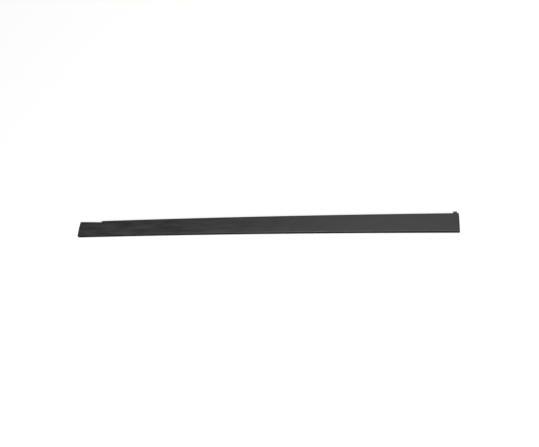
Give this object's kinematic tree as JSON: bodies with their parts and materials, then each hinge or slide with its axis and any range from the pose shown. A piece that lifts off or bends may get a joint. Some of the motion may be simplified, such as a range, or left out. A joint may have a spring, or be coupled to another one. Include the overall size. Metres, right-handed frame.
{
  "type": "car body side moulding",
  "caption": "Long shallow-arched side moulding for a car door, crowned face with rounded edges, a relief at one end, ribbed back and two foam tapes under liner film.",
  "frame": {"origin": "on the floor under the middle of the strip, in the plane of the two liner films' undersides", "axes": "+X along the strip, away from the end with the relief; +Y towards the upper edge, which the arch bulges to; +Z out of the crowned face"},
  "size_m": [0.974, 0.0505, 0.0116],
  "materials": {
    "strip_plastic": "satin",
    "acrylic_foam": "matte",
    "liner_film": "gloss"
  },
  "bodies": {
    "root": {"moulding_strip": "strip_plastic", "foam_tape_upper": "acrylic_foam", "foam_tape_lower": "acrylic_foam", "release_liner_upper": "liner_film", "release_liner_lower": "liner_film"}
  },
  "joints": []
}
